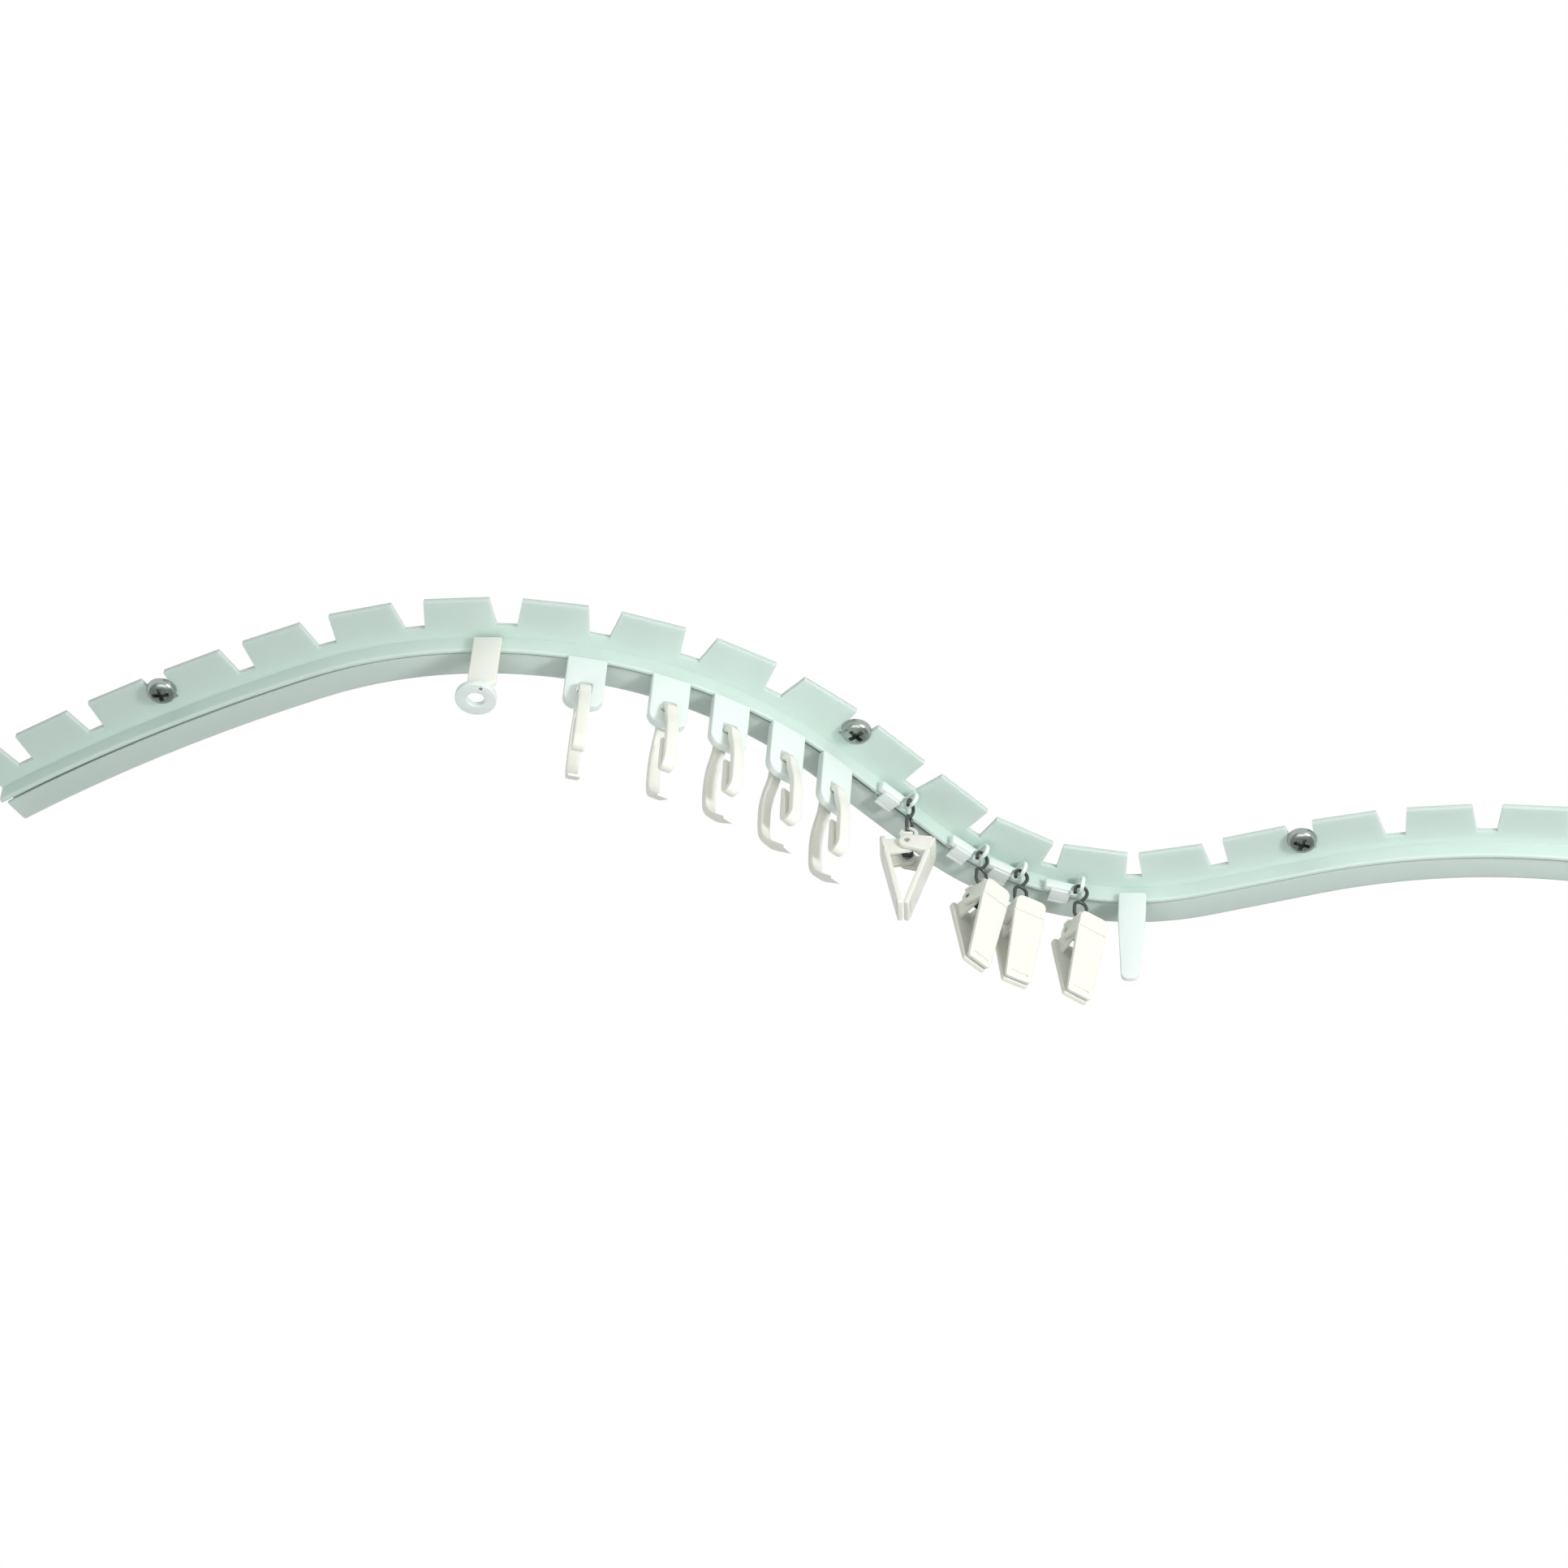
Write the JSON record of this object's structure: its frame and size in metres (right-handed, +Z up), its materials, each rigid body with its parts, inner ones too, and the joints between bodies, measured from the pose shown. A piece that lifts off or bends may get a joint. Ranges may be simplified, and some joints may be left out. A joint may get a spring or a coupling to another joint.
{
  "type": "curtain track",
  "caption": "Bendable ceiling curtain track with a notched flange, tab gliders with drapery hooks, hanging spring clips and end stops.",
  "frame": {"origin": "on the ceiling face of the flange, near the middle of the track's length", "axes": "+Z up into the ceiling, out of the face that the track is screwed against, +X along the longest extent of the track, -Y to the toothed side"},
  "size_m": [0.3987, 0.0866, 0.0649],
  "materials": {
    "rail_pvc": "satin extruded PVC",
    "white_plastic": "satin moulded acetal",
    "ivory_plastic": "satin moulded nylon",
    "clip_plastic": "satin moulded plastic",
    "screw_steel": "zinc plated",
    "wire_steel": "dark plated wire"
  },
  "bodies": {
    "track": {"track_rail": "rail_pvc", "screw_left": "screw_steel", "screw_middle": "screw_steel", "screw_right": "screw_steel", "left_stop_stem": "ivory_plastic", "left_stop_eyelet": "white_plastic", "right_stop": "white_plastic"},
    "glider_1": {"glider_1": "white_plastic"},
    "hook_1": {"hook_1": "ivory_plastic"},
    "glider_2": {"glider_2": "white_plastic"},
    "hook_2": {"hook_2": "ivory_plastic"},
    "glider_3": {"glider_3": "white_plastic"},
    "hook_3": {"hook_3": "ivory_plastic"},
    "glider_4": {"glider_4": "white_plastic"},
    "hook_4": {"hook_4": "ivory_plastic"},
    "glider_5": {"glider_5": "white_plastic"},
    "hook_5": {"hook_5": "ivory_plastic"},
    "carrier_1": {"carrier_1": "white_plastic"},
    "wire_eye_1": {"wire_eye_1": "wire_steel"},
    "clip_1": {"clip_front_1": "clip_plastic", "clip_pin_1": "wire_steel", "clip_spring_1": "wire_steel"},
    "clip_jaw_1": {"clip_back_1": "clip_plastic"},
    "carrier_2": {"carrier_2": "white_plastic"},
    "wire_eye_2": {"wire_eye_2": "wire_steel"},
    "clip_2": {"clip_front_2": "clip_plastic", "clip_pin_2": "wire_steel", "clip_spring_2": "wire_steel"},
    "clip_jaw_2": {"clip_back_2": "clip_plastic"},
    "carrier_3": {"carrier_3": "white_plastic"},
    "wire_eye_3": {"wire_eye_3": "wire_steel"},
    "clip_3": {"clip_front_3": "clip_plastic", "clip_pin_3": "wire_steel", "clip_spring_3": "wire_steel"},
    "clip_jaw_3": {"clip_back_3": "clip_plastic"},
    "carrier_4": {"carrier_4": "white_plastic"},
    "wire_eye_4": {"wire_eye_4": "wire_steel"},
    "clip_4": {"clip_front_4": "clip_plastic", "clip_pin_4": "wire_steel", "clip_spring_4": "wire_steel"},
    "clip_jaw_4": {"clip_back_4": "clip_plastic"}
  },
  "joints": [
    {"name": "glider_1_travel", "type": "hinge", "parent": "track", "child": "glider_1", "pos_m": [-0.05874, 0.09253, -0.004], "axis": [0, 0, 1], "range_deg": [-7.39, 2.61]},
    {"name": "hook_1_swing", "type": "hinge", "parent": "glider_1", "child": "hook_1", "pos_m": [-0.04761, -0.02082, -0.0195], "axis": [0.9912, 0.1324, 0], "range_deg": [-15, 15]},
    {"name": "glider_2_travel", "type": "hinge", "parent": "track", "child": "glider_2", "pos_m": [-0.05874, 0.09253, -0.004], "axis": [0, 0, 1], "range_deg": [-2.61, 1.43]},
    {"name": "hook_2_swing", "type": "hinge", "parent": "glider_2", "child": "hook_2", "pos_m": [-0.02734, -0.01696, -0.0195], "axis": [0.9397, 0.3421, 0], "range_deg": [-15, 15]},
    {"name": "glider_3_travel", "type": "hinge", "parent": "track", "child": "glider_3", "pos_m": [-0.05874, 0.09253, -0.004], "axis": [0, 0, 1], "range_deg": [-1.43, 1.53]},
    {"name": "hook_3_swing", "type": "hinge", "parent": "glider_3", "child": "hook_3", "pos_m": [-0.01262, -0.01162, -0.0195], "axis": [0.8102, 0.5862, 0], "range_deg": [-15, 15]},
    {"name": "glider_4_travel", "type": "hinge", "parent": "track", "child": "glider_4", "pos_m": [-0.05874, 0.09253, -0.004], "axis": [0, 0, 1], "range_deg": [-1.53, 1.33]},
    {"name": "hook_4_swing", "type": "hinge", "parent": "glider_4", "child": "hook_4", "pos_m": [0.00148, -0.00415, -0.0195], "axis": [0.7204, 0.6936, 0], "range_deg": [-15, 15]},
    {"name": "glider_5_travel", "type": "hinge", "parent": "track", "child": "glider_5", "pos_m": [-0.05874, 0.09253, -0.004], "axis": [0, 0, 1], "range_deg": [-1.33, 0.79]},
    {"name": "hook_5_swing", "type": "hinge", "parent": "glider_5", "child": "hook_5", "pos_m": [0.01386, 0.00477, -0.0195], "axis": [0.8028, 0.5962, 0], "range_deg": [-15, 15]},
    {"name": "carrier_1_travel", "type": "slide", "parent": "track", "child": "carrier_1", "axis": [0.76, 0.6499, 0], "range_m": [-0.0038, 0.0033]},
    {"name": "wire_eye_1_swing", "type": "hinge", "parent": "carrier_1", "child": "wire_eye_1", "pos_m": [0.03306, 0.01642, -0.0051], "axis": [0.4612, 0.8873, 0], "range_deg": [-14, 14]},
    {"name": "clip_1_swing", "type": "hinge", "parent": "wire_eye_1", "child": "clip_1", "pos_m": [0.03306, 0.01642, -0.0161], "axis": [0.0952, 0.9955, 0], "range_deg": [-18, 18]},
    {"name": "clip_1_open", "type": "hinge", "parent": "clip_1", "child": "clip_jaw_1", "pos_m": [0.03305, 0.01643, -0.0227], "axis": [0.0952, 0.9955, 0], "range_deg": [0, 14], "stiffness_Nm_per_rad": 0.004, "springref_deg": -22.92},
    {"name": "carrier_2_travel", "type": "hinge", "parent": "track", "child": "carrier_2", "pos_m": [0.08212, -0.01833, -0.004], "axis": [0, 0, -1], "range_deg": [-1.16, 0.48]},
    {"name": "wire_eye_2_swing", "type": "hinge", "parent": "carrier_2", "child": "wire_eye_2", "pos_m": [0.05189, 0.03175, -0.0051], "axis": [0.79, 0.6132, 0], "range_deg": [-14, 14]},
    {"name": "clip_2_swing", "type": "hinge", "parent": "wire_eye_2", "child": "clip_2", "pos_m": [0.05189, 0.03175, -0.0161], "axis": [0.7681, 0.6404, 0], "range_deg": [-18, 18]},
    {"name": "clip_2_open", "type": "hinge", "parent": "clip_2", "child": "clip_jaw_2", "pos_m": [0.05189, 0.03176, -0.0227], "axis": [0.7681, 0.6404, 0], "range_deg": [0, 14], "stiffness_Nm_per_rad": 0.004, "springref_deg": -22.92},
    {"name": "carrier_3_travel", "type": "hinge", "parent": "track", "child": "carrier_3", "pos_m": [0.08212, -0.01833, -0.004], "axis": [0, 0, -1], "range_deg": [-0.48, 0.87]},
    {"name": "wire_eye_3_swing", "type": "hinge", "parent": "carrier_3", "child": "wire_eye_3", "pos_m": [0.06198, 0.03659, -0.0051], "axis": [0.9147, 0.4042, 0], "range_deg": [-14, 14]},
    {"name": "clip_3_swing", "type": "hinge", "parent": "wire_eye_3", "child": "clip_3", "pos_m": [0.06198, 0.03659, -0.0161], "axis": [0.9216, 0.3882, 0], "range_deg": [-18, 18]},
    {"name": "clip_3_open", "type": "hinge", "parent": "clip_3", "child": "clip_jaw_3", "pos_m": [0.06198, 0.0366, -0.0227], "axis": [0.9216, 0.3882, 0], "range_deg": [0, 14], "stiffness_Nm_per_rad": 0.004, "springref_deg": -22.92},
    {"name": "carrier_4_travel", "type": "hinge", "parent": "track", "child": "carrier_4", "pos_m": [0.08212, -0.01833, -0.004], "axis": [0, 0, -1], "range_deg": [-0.87, 1.93]},
    {"name": "wire_eye_4_swing", "type": "hinge", "parent": "carrier_4", "child": "wire_eye_4", "pos_m": [0.077, 0.03994, -0.0051], "axis": [0.9413, 0.3375, 0], "range_deg": [-14, 14]},
    {"name": "clip_4_swing", "type": "hinge", "parent": "wire_eye_4", "child": "clip_4", "pos_m": [0.077, 0.03994, -0.0161], "axis": [0.8684, 0.4958, 0], "range_deg": [-18, 18]},
    {"name": "clip_4_open", "type": "hinge", "parent": "clip_4", "child": "clip_jaw_4", "pos_m": [0.077, 0.03995, -0.0227], "axis": [0.8684, 0.4958, 0], "range_deg": [0, 14], "stiffness_Nm_per_rad": 0.004, "springref_deg": -22.92}
  ]
}
